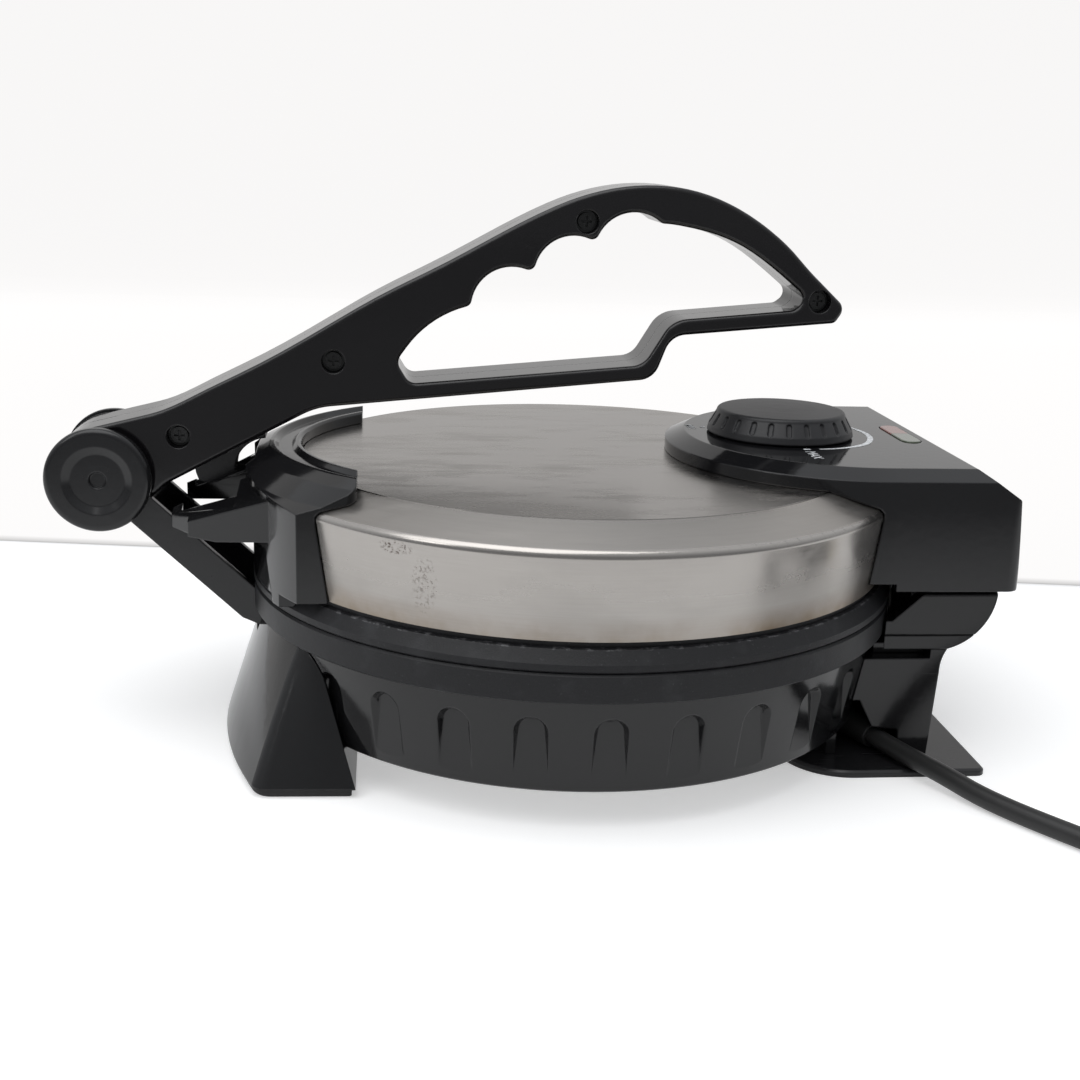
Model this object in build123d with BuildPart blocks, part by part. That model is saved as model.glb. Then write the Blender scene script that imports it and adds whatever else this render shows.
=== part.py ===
from build123d import *
import math
import os

# Electric roti maker, millimetres, +Z up, standing on Z = 0. Profiles are drawn
# in a frame whose origin is the middle of the joint between the two plates:
# X runs from the lever pivot (front) to the control housing (rear).

plate_x = 22.5              # heating plates' axis, from the middle of the footprint
joint_z = 65.0              # plane where the two plates meet, above the counter
rim_r = 135.0               # plate rim: a ten inch cooking disc with its flange
floor_z = -joint_z

lid_wall_r = 130.8          # spun lid cover, its wall at the foot
lid_edge_r = 134.4          # and at the rolled shoulder
lid_edge_z = 43.5
lid_top_r = 114.5
lid_top_z = 50.4
lid_bottom_z = 10.6
sheet = 1.0

skirt_top_r = 130.8         # base shell
skirt_foot_r = 124.3
skirt_top_z = -11.0
skirt_foot_z = -49.2
wall = 2.8

hinge_x, hinge_z = 138.0, 9.0
pivot_x, pivot_z = -194.0, 41.9
arm_hinge_x, arm_hinge_z = -127.0, -15.0
lever_half = 17.0
slot_half = 21.8            # fork in the tab and notch in the base, for the arm

centre = Plane((plate_x, 0, joint_z))
side = Plane((plate_x, 0, joint_z), x_dir=(1, 0, 0), z_dir=(0, -1, 0))
plate_axis = Axis((plate_x, 0, 0), (0, 0, 1))


def facing_side(y):
    """Plane of a side view at the given distance from the middle, towards +Y."""
    return side.offset(-y)


def keep(part, name):
    part.part.label = name
    export_step(part.part, "parts/" + name + ".step")


os.makedirs("parts", exist_ok=True)

# ------------------------------------------------------------------ base shell
flute_pitch = 360 / 28      # degrees
flute_half = 6.4            # arched pocket with sloping sides, deepest at its top
flute_top_z = -18.5
flute_tail_z = -46.0
flute_floor_r = 126.2
skirt_lean = (skirt_top_r - skirt_foot_r) / (skirt_top_z - skirt_foot_z)


def skirt_r(z):
    return skirt_top_r - (skirt_top_z - z) * skirt_lean


skirt_tangent = Plane(
    (plate_x + skirt_r(flute_top_z), 0, joint_z + flute_top_z),
    x_dir=(0, 1, 0),
    z_dir=(math.cos(math.atan(skirt_lean)), 0, -math.sin(math.atan(skirt_lean))),
)
with BuildPart() as flute_cutter:
    with BuildSketch(skirt_tangent.offset(0.4)):
        with Locations((0, -flute_half)):
            Circle(flute_half + 0.2)
        with Locations((0, (flute_tail_z - flute_top_z - flute_half) / 2)):
            Rectangle(2 * flute_half + 0.4, flute_top_z - flute_tail_z - flute_half)
    extrude(amount=-6, taper=32)
    with BuildSketch(side):
        Polygon((100, 0), (flute_floor_r, 0), (flute_floor_r - 1.2, -60), (100, -60), align=None)
    extrude(amount=30, both=True, mode=Mode.SUBTRACT)

notch_z = -21.6             # floor of the notch that the arm swings in
with BuildPart() as base_shell:
    with BuildSketch(side):
        Polygon((112, -10.6), (skirt_top_r, -10.6), (skirt_top_r, -12.2), (skirt_foot_r + 0.4, -48.4),
                (skirt_foot_r - 0.6, skirt_foot_z), (skirt_foot_r - wall, skirt_foot_z),
                (skirt_r(-17) - wall - 0.9, -17), (skirt_top_r - wall - 0.9, -13.6), (112, -13.6),
                align=None)
    revolve(axis=plate_axis)
    # bosses that carry the arm's hinge pin
    for sign in (-1, 1):
        with BuildSketch(facing_side(sign * (slot_half + 2.5))):
            Polygon((-128, -13), (-116, -13), (-116, -25), (-128, -25), align=None)
        extrude(amount=2.5, both=True)
    # notch for the arm
    with BuildSketch(side):
        Polygon((-160, 0), (-117, 0), (-117, notch_z), (-160, notch_z), align=None)
    extrude(amount=slot_half, both=True, mode=Mode.SUBTRACT)
    with BuildSketch(facing_side(0)):
        with Locations((arm_hinge_x, arm_hinge_z)):
            Circle(2.5)
    extrude(amount=slot_half + 5.5, both=True, mode=Mode.SUBTRACT)
    flute_spots = [-90 + k * flute_pitch for k in range(-4, 5)]
    for angle in flute_spots + [-a for a in flute_spots]:
        add(flute_cutter.part.rotate(plate_axis, angle), mode=Mode.SUBTRACT)
    # room for the cord's strain relief
    with BuildSketch(centre.offset(-47.2)):
        with Locations((114, -50)):
            Rectangle(26, 26)
    extrude(amount=-4, mode=Mode.SUBTRACT)
keep(base_shell, "base_shell")

# outer form of the skirt, for what is fixed against it
with BuildPart() as skirt_form:
    with BuildSketch(side):
        Polygon((0, 5), (skirt_top_r + 0.1, 5), (skirt_top_r + 0.1, -12.2),
                (skirt_foot_r + 0.6, skirt_foot_z - 0.1), (0, skirt_foot_z - 0.1), align=None)
    revolve(axis=plate_axis)

# --------------------------------------------------------------- front foot
foot_bottom_z = -61.5
with BuildPart() as front_foot:
    with BuildSketch(centre.offset(-12.5)):
        with BuildLine():
            top_arc = ThreePointArc((-113, -68), (-131.2, 0), (-113, 68))
            Polyline(top_arc @ 1, (-106, 75), (-106, -75), top_arc @ 0)
        make_face()
    with BuildSketch(centre.offset(foot_bottom_z)):
        with BuildLine():
            low_arc = ThreePointArc((-129, -91), (-147, 0), (-129, 91))
            Polyline(low_arc @ 1, (-91, 92.5), (-91, -92.5), low_arc @ 0)
        make_face()
    loft(ruled=True)
    creases = front_foot.edges().filter_by(lambda e: abs(e.center().Z - 28) < 8)
    fillet(creases.sort_by(Axis.X)[0:2], 7)
    with BuildPart(mode=Mode.PRIVATE) as foot_room:
        with BuildSketch(centre.offset(-16)):
            with BuildLine():
                room_top = ThreePointArc((-110, -65), (-128.5, 0), (-110, 65))
                Polyline(room_top @ 1, (-106, 70), (-106, -70), room_top @ 0)
            make_face()
        with BuildSketch(centre.offset(foot_bottom_z - 1)):
            with BuildLine():
                room_low = ThreePointArc((-126, -88), (-144, 0), (-126, 88))
                Polyline(room_low @ 1, (-94, 89.5), (-94, -89.5), room_low @ 0)
            make_face()
        loft(ruled=True)
    add(foot_room.part, mode=Mode.SUBTRACT)
    add(skirt_form.part, mode=Mode.SUBTRACT)
    with BuildSketch(side):
        Polygon((-170, 0), (-110, 0), (-110, notch_z), (-170, notch_z), align=None)
    extrude(amount=slot_half, both=True, mode=Mode.SUBTRACT)
    add(base_shell.part, mode=Mode.SUBTRACT)
    with BuildSketch(facing_side(0)):
        with Locations((arm_hinge_x, arm_hinge_z)):
            Circle(2.6)
    extrude(amount=slot_half + 6, both=True, mode=Mode.SUBTRACT)
keep(front_foot, "front_foot")

# ----------------------------------------------------------------- rear leg
leg_half = 64.0
leg_top_z = -20.6
with BuildPart() as rear_leg:
    # the rear edge flares up to the seat above; elsewhere a groove parts them
    with BuildSketch(side):
        with BuildLine():
            flare = ThreePointArc((147, -16.6), (145.3, -20.6), (144.6, -26.5))
            Polyline(flare @ 1, (142.6, -62), (100, -62), (100, leg_top_z), (140.2, leg_top_z),
                     (140.2, -16.6), flare @ 0)
        make_face()
    extrude(amount=leg_half, both=True)
    with BuildSketch(side):
        Polygon((103, leg_top_z - 3), (141.6, leg_top_z - 3), (139.7, -62.5), (103, -62.5), align=None)
    extrude(amount=leg_half - 3, both=True, mode=Mode.SUBTRACT)
    add(skirt_form.part, mode=Mode.SUBTRACT)
    # cord outlet: slanted opening low in the near wall
    with BuildSketch(facing_side(-leg_half - 1)):
        Polygon((104, -41), (109, -38.5), (112.5, -38.5), (118.5, -50), (129.5, -51.5), (130.5, -63),
                (104, -63), align=None)
    extrude(amount=-6, mode=Mode.SUBTRACT)
keep(rear_leg, "rear_leg")

# ------------------------------------------------- pieces of the base, outside
with BuildPart() as front_foot_pads:
    with BuildSketch(centre.offset(floor_z)):
        with BuildLine():
            pad_arc = ThreePointArc((-128, -90), (-145.5, 0), (-128, 90))
            Polyline(pad_arc @ 1, (-92.5, 91), (-92.5, -91), pad_arc @ 0)
        make_face()
        Rectangle(400, 60, mode=Mode.SUBTRACT)
    extrude(amount=foot_bottom_z - floor_z)
    pad_corners = front_foot_pads.edges().filter_by(Axis.Z)
    fillet(pad_corners.filter_by(lambda e: abs(e.center().Y) > 60 and e.center().X < -90), 8)
    chamfer(front_foot_pads.faces().sort_by(Axis.Z)[0:2].edges(), 0.8)
keep(front_foot_pads, "front_foot_pads")

plate_foot_x0, plate_foot_x1, plate_foot_half = 82.0, 162.0, 81.0
with BuildPart() as rear_foot_plate:
    with BuildSketch(centre.offset(floor_z)):
        with Locations(((plate_foot_x0 + plate_foot_x1) / 2, 0)):
            Rectangle(plate_foot_x1 - plate_foot_x0, 2 * plate_foot_half)
        fillet(vertices().group_by(Axis.X)[-1], 4)
        fillet(vertices().group_by(Axis.X)[0], 26)
    extrude(amount=2.9)
    chamfer(rear_foot_plate.faces().sort_by(Axis.Z)[-1].edges(), 1)
keep(rear_foot_plate, "rear_foot_plate")

bracket_half = 64.0
bracket_r = 28.0
bracket_top_z = 7.3
seam_z = -10.8
with BuildPart() as bracket_form:
    with BuildSketch(side):
        with BuildLine():
            round_start = (hinge_x + 27.95, bracket_top_z)
            round_end = (147, -16.5)
            rear_round = ThreePointArc(round_start, (160.3, -7.9), round_end)
            Polyline(rear_round @ 1, (112, -16.5), (112, -4.5), (123, -4.5), (135.7, bracket_top_z),
                     rear_round @ 0)
        make_face()
    extrude(amount=bracket_half, both=True)
    fillet(bracket_form.edges().filter_by(Axis.X).sort_by(Axis.Z)[-2:], 1.5)
    # ears that hold the pin, each side of the lid's two knuckles
    for sign in (-1, 1):
        for inner, outer in ((33, 41), (50, 58)):
            with BuildSketch(facing_side(sign * (inner + outer) / 2)):
                with Locations((hinge_x, hinge_z)):
                    Circle(6)
                with Locations((hinge_x, hinge_z - 4)):
                    Rectangle(12, 8)
            extrude(amount=(outer - inner) / 2, both=True)
        with BuildSketch(facing_side(sign * 45.5)):
            with Locations((hinge_x, hinge_z)):
                Circle(7.4)
            Polygon((hinge_x, 5), (hinge_x + 18, 5), (hinge_x + 18, 32), (hinge_x, 32), align=None)
        extrude(amount=4.5, both=True, mode=Mode.SUBTRACT)
    with BuildSketch(facing_side(0)):
        Polygon((128, 2), (134, 2), (134, 12), (146, 12), (146, 2), (158, 2), (154, -6), (128, -6),
                align=None)
    extrude(amount=31, both=True, mode=Mode.SUBTRACT)
    with BuildSketch(centre.offset(-40)):
        Circle(rim_r + 1.2)
    extrude(amount=80, mode=Mode.SUBTRACT)
    with BuildSketch(facing_side(0)):
        with Locations((hinge_x, hinge_z)):
            Circle(3)
    extrude(amount=59, both=True, mode=Mode.SUBTRACT)

with BuildPart() as hinge_bracket:
    add(bracket_form.part)
    with BuildSketch(centre.offset(seam_z)):
        Rectangle(600, 600)
    extrude(amount=-60, mode=Mode.SUBTRACT)
    hinge_low = hinge_bracket.faces().sort_by(Axis.Z)[0]
    chamfer(hinge_low.outer_wire().edges().filter_by(Axis.X), 0.6)
keep(hinge_bracket, "hinge_bracket")

with BuildPart() as bracket_seat:
    add(bracket_form.part)
    with BuildSketch(centre.offset(seam_z)):
        Rectangle(600, 600)
    extrude(amount=60, mode=Mode.SUBTRACT)
    with BuildSketch(centre.offset(-40)):
        Circle(rim_r + 1.2)
    extrude(amount=80, mode=Mode.SUBTRACT)
    # neck that stands on the leg, close behind the shell
    with BuildSketch(centre.offset(leg_top_z + 0.05)):
        with Locations((128, 0)):
            Rectangle(24, 114)
        Circle(skirt_top_r + 0.6, mode=Mode.SUBTRACT)
    extrude(amount=4.5)
keep(bracket_seat, "bracket_seat")

# ------------------------------------------------------- inside the base
disc_r = 126.0              # flat cooking disc inside the rim
element_r = 84.0
element_tube = 3.4

with BuildPart() as lower_heating_plate:
    with BuildSketch(side):
        Polygon((0, -1.4), (disc_r, -1.4), (disc_r + 1.4, 0), (rim_r - 0.8, 0), (rim_r, -0.8),
                (rim_r, -10.4), (rim_r - 0.6, -11), (rim_r - 3.6, -11), (rim_r - 3.6, -10.5),
                (rim_r - 10, -10.5), (rim_r - 10, -8), (0, -8), align=None)
    revolve(axis=plate_axis)
    # pads that the element is cast against
    with BuildSketch(side):
        Polygon((element_r - 8, -8), (element_r - 6, -11), (element_r + 6, -11), (element_r + 8, -8),
                align=None)
    revolve(axis=plate_axis)
    with BuildSketch(side):
        with Locations((element_r, -11)):
            Circle(element_tube)
    revolve(axis=plate_axis, mode=Mode.SUBTRACT)
    # the arm drops through this notch in the rim
    with BuildSketch(side):
        Polygon((-150, 2), (-129.5, 2), (-127, -6), (-118.5, -8.6), (-118.5, -12), (-150, -12),
                align=None)
    extrude(amount=slot_half, both=True, mode=Mode.SUBTRACT)
keep(lower_heating_plate, "lower_heating_plate")


def element(height, name, drop):
    """Tubular heater ring, with its two cold ends turned away from the plate."""
    with BuildPart() as ring:
        with BuildSketch(Plane((plate_x, 0, joint_z + height), x_dir=(1, 0, 0), z_dir=(0, -1, 0))):
            with Locations((element_r, 0)):
                Circle(element_tube)
        revolve(axis=plate_axis, revolution_arc=330)
        for angle in (4, 326):
            turn = math.radians(angle)
            foot = (plate_x + element_r * math.cos(turn), element_r * math.sin(turn), joint_z + height)
            with BuildSketch(Plane(foot)):
                Circle(element_tube - 0.6)
            extrude(amount=drop)
    keep(ring, name)


element(-11, "lower_heating_element", -10)

with BuildPart() as lower_heat_reflector:
    with BuildSketch(side):
        Polygon((20, -17), (98, -17), (104, -13), (110.5, -13), (110.5, -13.8), (104.4, -13.8),
                (98.4, -17.8), (20, -17.8), align=None)
    revolve(axis=plate_axis)
    with BuildSketch(centre.offset(-30)):
        for angle in (4, -34):
            with PolarLocations(element_r, 1, start_angle=angle):
                SlotOverall(14, 9)
    extrude(amount=20, mode=Mode.SUBTRACT)
keep(lower_heat_reflector, "lower_heat_reflector")

cover_r = 121.0
screw_spots = [(cover_r - 14, a) for a in (45, 135, 225, 315)]
with BuildPart() as bottom_cover:
    with BuildSketch(side):
        Polygon((0, -46.8), (cover_r, -46.8), (cover_r, -49), (0, -49), align=None)
    revolve(axis=plate_axis)
    with BuildSketch(centre.offset(-50)):
        with GridLocations(0, 12, 1, 7):
            SlotOverall(90, 4)
        with Locations((110, 0)):
            Rectangle(60, 112)
        for radius, angle in screw_spots:
            with PolarLocations(radius, 1, start_angle=angle):
                Circle(2.2)
        with Locations((-130, 0)):
            Rectangle(30, 60)
    extrude(amount=10, mode=Mode.SUBTRACT)
keep(bottom_cover, "bottom_cover")

with BuildPart() as base_screws:
    for radius, angle in screw_spots:
        turn = math.radians(angle)
        spot = (plate_x + radius * math.cos(turn), radius * math.sin(turn), joint_z - 49)
        with BuildSketch(Plane(spot)):
            Circle(3.8)
        extrude(amount=-2)
        with BuildSketch(Plane(spot)):
            Circle(2.0)
        extrude(amount=31)
        with BuildSketch(Plane(spot).offset(-2)):
            Rectangle(4.4, 1)
            Rectangle(1, 4.4)
        extrude(amount=1, mode=Mode.SUBTRACT)
keep(base_screws, "base_screws")

with BuildPart() as terminal_block:
    with BuildSketch(centre.offset(-46.5)):
        with Locations((86, 34)):
            Rectangle(20, 44)
        fillet(vertices(), 2)
    extrude(amount=14)
    with BuildSketch(centre.offset(-32.5)):
        with Locations((86, 34)):
            with GridLocations(10, 13, 2, 3):
                Circle(2.6)
    extrude(amount=-8, mode=Mode.SUBTRACT)
keep(terminal_block, "terminal_block")


def pin(name, x, z, radius, half_length):
    with BuildPart() as rod:
        with BuildSketch(facing_side(0)):
            with Locations((x, z)):
                Circle(radius)
        extrude(amount=half_length, both=True)
        chamfer(rod.edges().filter_by(GeomType.CIRCLE), 0.5)
    keep(rod, name)


pin("lid_hinge_pin", hinge_x, hinge_z, 3.0, 58.5)
pin("arm_hinge_pin", arm_hinge_x, arm_hinge_z, 2.5, slot_half + 5)

# ------------------------------------------------------------------------- lid
with BuildPart() as upper_heating_plate:
    with BuildSketch(side):
        Polygon((0, 1.7), (disc_r, 1.7), (disc_r + 1.4, 0.3), (rim_r - 0.8, 0.3), (rim_r, 1.1),
                (rim_r, 3.5), (131.4, 8.1), (129.3, 8.3), (129.3, 11), (127, 11), (127, 7.9),
                (0, 7.9), align=None)
    revolve(axis=plate_axis)
    with BuildSketch(side):
        Polygon((element_r - 8, 7.9), (element_r - 6, 11), (element_r + 6, 11), (element_r + 8, 7.9),
                align=None)
    revolve(axis=plate_axis)
    with BuildSketch(side):
        with Locations((element_r, 11)):
            Circle(element_tube)
    revolve(axis=plate_axis, mode=Mode.SUBTRACT)
keep(upper_heating_plate, "upper_heating_plate")

element(11, "upper_heating_element", 10)

with BuildPart() as upper_heat_reflector:
    with BuildSketch(side):
        Polygon((20, 17), (104, 17), (112, 9), (122, 9), (122, 9.8), (112.3, 9.8), (104.3, 17.8),
                (20, 17.8), align=None)
    revolve(axis=plate_axis)
    with BuildSketch(centre.offset(15)):
        for angle in (4, -34):
            with PolarLocations(element_r, 1, start_angle=angle):
                SlotOverall(14, 9)
    extrude(amount=5, mode=Mode.SUBTRACT)
keep(upper_heat_reflector, "upper_heat_reflector")

knob_x = 88.4
housing_top_z = 59.2
yoke_screw_z = 27.0
yoke_screw_planes = [
    Plane((plate_x - 128 * math.cos(turn), 128 * math.sin(turn), joint_z + yoke_screw_z),
          x_dir=(0, 0, 1), z_dir=(-math.cos(turn), math.sin(turn), 0))
    for turn in (-math.radians(27), math.radians(27))
]
housing_screws_at = [(58, -22), (58, 22), (100, -42), (100, 42)]

with BuildPart() as lid_cover:
    with BuildSketch(side):
        with BuildLine():
            roll = ThreePointArc((lid_edge_r - 1.9, lid_edge_z + 0.9), (lid_edge_r - 0.4, lid_edge_z - 0.5),
                                 (lid_edge_r - 0.1, lid_edge_z - 2.6))
            inner_roll = ThreePointArc((lid_edge_r - 1.1, lid_edge_z - 2.6),
                                       (lid_edge_r - 1.4, lid_edge_z - 1.2),
                                       (lid_edge_r - 2.4, lid_edge_z))
            Polyline(roll @ 1, (lid_wall_r, lid_bottom_z), (lid_wall_r - sheet, lid_bottom_z),
                     inner_roll @ 0)
            # a pressed groove parts the flat top from the shoulder
            Polyline(inner_roll @ 1, (lid_top_r + 0.3, lid_top_z - sheet - 0.4), (0, lid_top_z - sheet - 0.4),
                     (0, lid_top_z), (lid_top_r - 0.5, lid_top_z), (lid_top_r - 0.3, lid_top_z - 0.6),
                     (lid_top_r + 0.2, lid_top_z - 0.6), (lid_top_r + 0.5, lid_top_z - 0.1), roll @ 0)
        make_face()
    revolve(axis=plate_axis)
    with BuildSketch(centre.offset(40)):
        with Locations((knob_x, 0)):
            Circle(9)
        with Locations((72, -14)):
            SlotOverall(14, 8)
        with Locations(*housing_screws_at):
            Circle(1.7)
    extrude(amount=20, mode=Mode.SUBTRACT)
    for spot in yoke_screw_planes:
        with BuildSketch(spot):
            Circle(1.7)
        extrude(amount=12, mode=Mode.SUBTRACT)
keep(lid_cover, "lid_cover")

# everything that the front yoke and the housing must stay outside of
with BuildPart() as lid_envelope:
    with BuildSketch(side):
        Polygon((0, -5), (rim_r + 0.2, -5), (rim_r + 0.2, 3.7), (131.6, 8.3), (131.1, 9.5),
                (lid_wall_r + 0.3, lid_bottom_z), (lid_edge_r + 0.2, lid_edge_z - 2.6),
                (lid_edge_r + 0.1, lid_edge_z - 0.5), (lid_edge_r - 1.4, lid_edge_z + 1.2),
                (lid_top_r + 0.5, lid_top_z + 0.15), (0, lid_top_z + 0.15), align=None)
    revolve(axis=plate_axis)

yoke_ring_x = -30.0
with BuildPart() as front_yoke:
    with BuildSketch(centre.offset(4.5)):
        with BuildLine():
            yoke_arc = ThreePointArc((-112.5, -83.5), (-137.5, 0), (-112.5, 83.5))
            Polyline(yoke_arc @ 1, (-90.5, 83.5), (-90.5, -83.5), yoke_arc @ 0)
        make_face()
        fillet(vertices().group_by(Axis.X)[-1], 4)
    extrude(amount=60)
    yoke_ring = Plane((plate_x + yoke_ring_x, 0, joint_z), x_dir=(1, 0, 0), z_dir=(0, -1, 0))
    with BuildSketch(yoke_ring):
        Polygon((84.5, 0), (84.5, 54.6), (85.4, 55.4), (86.8, 55.4), (88.6, 53.6), (93.6, 53.6),
                (95.6, 55.6), (97, 55.4), (103, 52.6), (111, 46.4), (125, 40.5), (150, 34), (150, 0),
                align=None)
    revolve(axis=Axis((plate_x + yoke_ring_x, 0, 0), (0, 0, 1)), mode=Mode.INTERSECT)
    # forked tab that the lever's claw presses on
    for sign in (-1, 1):
        with BuildSketch(Plane((plate_x - 165, 0, joint_z), x_dir=(0, sign, 0), z_dir=(sign, 0, 0))):
            Polygon((21.8, 19.4), (21.8, 30.8), (35, 26.4), (35, 20), align=None)
        with BuildSketch(Plane((plate_x - 118, 0, joint_z), x_dir=(0, sign, 0), z_dir=(sign, 0, 0))):
            Polygon((21.8, 26.6), (21.8, 51), (67, 46), (67, 28.6), align=None)
        loft(ruled=True)
    # the tab's tip is bevelled on its outer corners
    with BuildSketch(centre.offset(10)):
        for sign in (-1, 1):
            Polygon((-170, sign * 24.5), (-165.2, sign * 26), (-157, sign * 36), (-157, sign * 45),
                    (-170, sign * 45), align=None)
    extrude(amount=30, mode=Mode.SUBTRACT)
    # below the tab the wall stands back between two tapering columns
    with BuildPart(mode=Mode.PRIVATE) as wall_recess:
        with BuildSketch(Plane((plate_x - 175, 0, joint_z), x_dir=(0, 1, 0), z_dir=(1, 0, 0))):
            Polygon((-67, 0), (-58.5, 23.6), (58.5, 23.6), (67, 0), align=None)
        extrude(amount=80)
        with BuildSketch(centre.offset(-10)):
            Circle(135.1)
        extrude(amount=60, mode=Mode.SUBTRACT)
    add(wall_recess.part, mode=Mode.SUBTRACT)
    with BuildSketch(centre.offset(0)):
        for sign in (-1, 1):
            with Locations((-100, sign * 80)):
                Rectangle(60, 18)
    extrude(amount=9.6, mode=Mode.SUBTRACT)
    add(lid_envelope.part, mode=Mode.SUBTRACT)
    with BuildSketch(side):
        Polygon((-170, 0), (-132.3, 0), (-132.3, 60), (-170, 60), align=None)
    extrude(amount=slot_half, both=True, mode=Mode.SUBTRACT)
    # each prong is dished, with a raised lip round its tip and outer side
    for sign in (-1, 1):
        with BuildPart(mode=Mode.PRIVATE) as dish:
            with BuildSketch(Plane((plate_x - 161, 0, joint_z), x_dir=(0, sign, 0), z_dir=(sign, 0, 0))):
                Polygon((20, 30.2), (28.6, 27), (28.6, 45), (20, 45), align=None)
            with BuildSketch(Plane((plate_x - 138, 0, joint_z), x_dir=(0, sign, 0), z_dir=(sign, 0, 0))):
                Polygon((20, 36.4), (49.5, 32), (49.5, 60), (20, 60), align=None)
            loft(ruled=True)
        add(dish.part, mode=Mode.SUBTRACT)
    for spot in yoke_screw_planes:
        with BuildSketch(spot):
            Circle(1.55)
        extrude(amount=9.4, mode=Mode.SUBTRACT)
keep(front_yoke, "front_yoke")

housing_half = 76.0
housing_nose_x = 116.0
housing_back_x = 169.8
lens_x, lens_length, lens_width = 142.0, 38.0, 10.0
with BuildPart() as control_housing:
    with BuildSketch(centre.offset(housing_top_z - 3.8)) as housing_plan:
        with Locations((housing_nose_x, 0)):
            Circle(housing_half)
        Rectangle(400, 2 * housing_half, mode=Mode.INTERSECT)
        with Locations(((housing_nose_x + housing_back_x) / 2, 0)):
            Rectangle(housing_back_x - housing_nose_x, 2 * housing_half)
        with Locations((housing_back_x + 50, 0)):
            Rectangle(100, 200, mode=Mode.SUBTRACT)
        fillet(vertices().group_by(Axis.X)[-1], 6)
    extrude(amount=3.8, taper=64.6)
    extrude(housing_plan.sketch, amount=-60)
    with BuildSketch(side):
        Polygon((20, 14.5), (118.7, 14.5), (118.7, 11.5), (169.3, 11.5), (165.9, 48.4),
                (150, housing_top_z), (150, 70), (20, 70), align=None)
    extrude(amount=100, both=True, mode=Mode.INTERSECT)
    rear_edges = control_housing.edges().filter_by(Axis.Y).filter_by(lambda e: e.center().X > 160)
    fillet(rear_edges.sort_by(Axis.Z)[-2:], 1.6)
    # inside: open downwards over the hinge bracket
    with BuildPart(mode=Mode.PRIVATE) as housing_room:
        with BuildSketch(centre.offset(0)):
            with Locations((housing_nose_x, 0)):
                Circle(housing_half - 3)
            with Locations(((housing_nose_x + housing_back_x) / 2, 0)):
                Rectangle(housing_back_x - housing_nose_x - 6, 2 * housing_half - 6)
            with Locations((housing_back_x - 3 + 50, 0)):
                Rectangle(100, 200, mode=Mode.SUBTRACT)
        extrude(amount=housing_top_z - 3)
        with BuildSketch(side):
            Polygon((20, 0), (167, 0), (162.8, 46.2), (148.6, housing_top_z - 3.4), (148.6, 70),
                    (20, 70), align=None)
        extrude(amount=100, both=True, mode=Mode.INTERSECT)
        with BuildSketch(side):
            Polygon((0, -1), (rim_r + 3, -1), (rim_r + 3, 45.5), (lid_top_r + 1, lid_top_z + 3),
                    (0, lid_top_z + 3), align=None)
        revolve(axis=plate_axis, mode=Mode.SUBTRACT)
        # screw bosses stay solid
        with BuildSketch(centre.offset(40)):
            with Locations(*housing_screws_at):
                Circle(4.5)
        extrude(amount=30, mode=Mode.SUBTRACT)
    add(housing_room.part, mode=Mode.SUBTRACT)
    add(lid_envelope.part, mode=Mode.SUBTRACT)
    # clear of the bracket as it swings round the pin
    with BuildSketch(side):
        with Locations((hinge_x, hinge_z)):
            Circle(bracket_r + 0.5)
    extrude(amount=bracket_half + 1.5, both=True, mode=Mode.SUBTRACT)
    with BuildSketch(centre.offset(lid_top_z)):
        with Locations(*housing_screws_at):
            Circle(1.55)
    extrude(amount=5, mode=Mode.SUBTRACT)
    with BuildSketch(centre.offset(50)):
        with Locations((knob_x, 0)):
            Circle(3.06)
        with Locations((lens_x, 0)):
            SlotOverall(lens_length - 0.8, lens_width - 0.8, rotation=90)
    extrude(amount=20, mode=Mode.SUBTRACT)
keep(control_housing, "control_housing")

with BuildPart() as hinge_plate:
    with BuildSketch(side):
        Polygon((138.4, 21.5), (138.4, 43), (140.4, 43), (140.4, 21.5), align=None)
    extrude(amount=52, both=True)
    for sign in (-1, 1):
        with BuildSketch(facing_side(sign * 45.5)):
            with Locations((hinge_x, hinge_z)):
                Circle(6.5)
            Polygon((133.5, 9), (133.5, 16), (138.4, 24), (140.4, 24), (142, 9), align=None)
            with Locations((hinge_x, hinge_z)):
                Circle(3.05, mode=Mode.SUBTRACT)
        extrude(amount=3.5, both=True)
keep(hinge_plate, "hinge_plate")

for tint, sign in (("red", 1), ("green", -1)):
    with BuildPart() as lens:
        with BuildSketch(centre.offset(housing_top_z - 3)):
            with Locations((lens_x, 0)):
                SlotOverall(lens_length - 2, lens_width - 2, rotation=90)
        extrude(amount=3.5)
        fillet(lens.edges().group_by(Axis.Z)[-1], 0.45)
        with BuildSketch(centre):
            with Locations((lens_x, -sign * 50)):
                Rectangle(40, 100.2)
        extrude(amount=100, mode=Mode.SUBTRACT)
    keep(lens, "indicator_lens_" + tint)

with BuildPart() as indicator_lamps:
    with BuildSketch(centre.offset(housing_top_z - 14)):
        with Locations((lens_x, -9), (lens_x, 9)):
            Circle(3)
    extrude(amount=10)
keep(indicator_lamps, "indicator_lamps")

with BuildPart() as thermostat:
    with BuildSketch(centre.offset(22)):
        with Locations((knob_x, 0)):
            RectangleRounded(34, 26, 3)
    extrude(amount=22)
    with BuildSketch(centre.offset(44)):
        with Locations((knob_x, 0)):
            Circle(6)
    extrude(amount=5)
    with BuildSketch(centre.offset(40)):
        with Locations((knob_x, 0)):
            Circle(3.05)
    extrude(amount=20, mode=Mode.SUBTRACT)
keep(thermostat, "thermostat")

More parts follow.
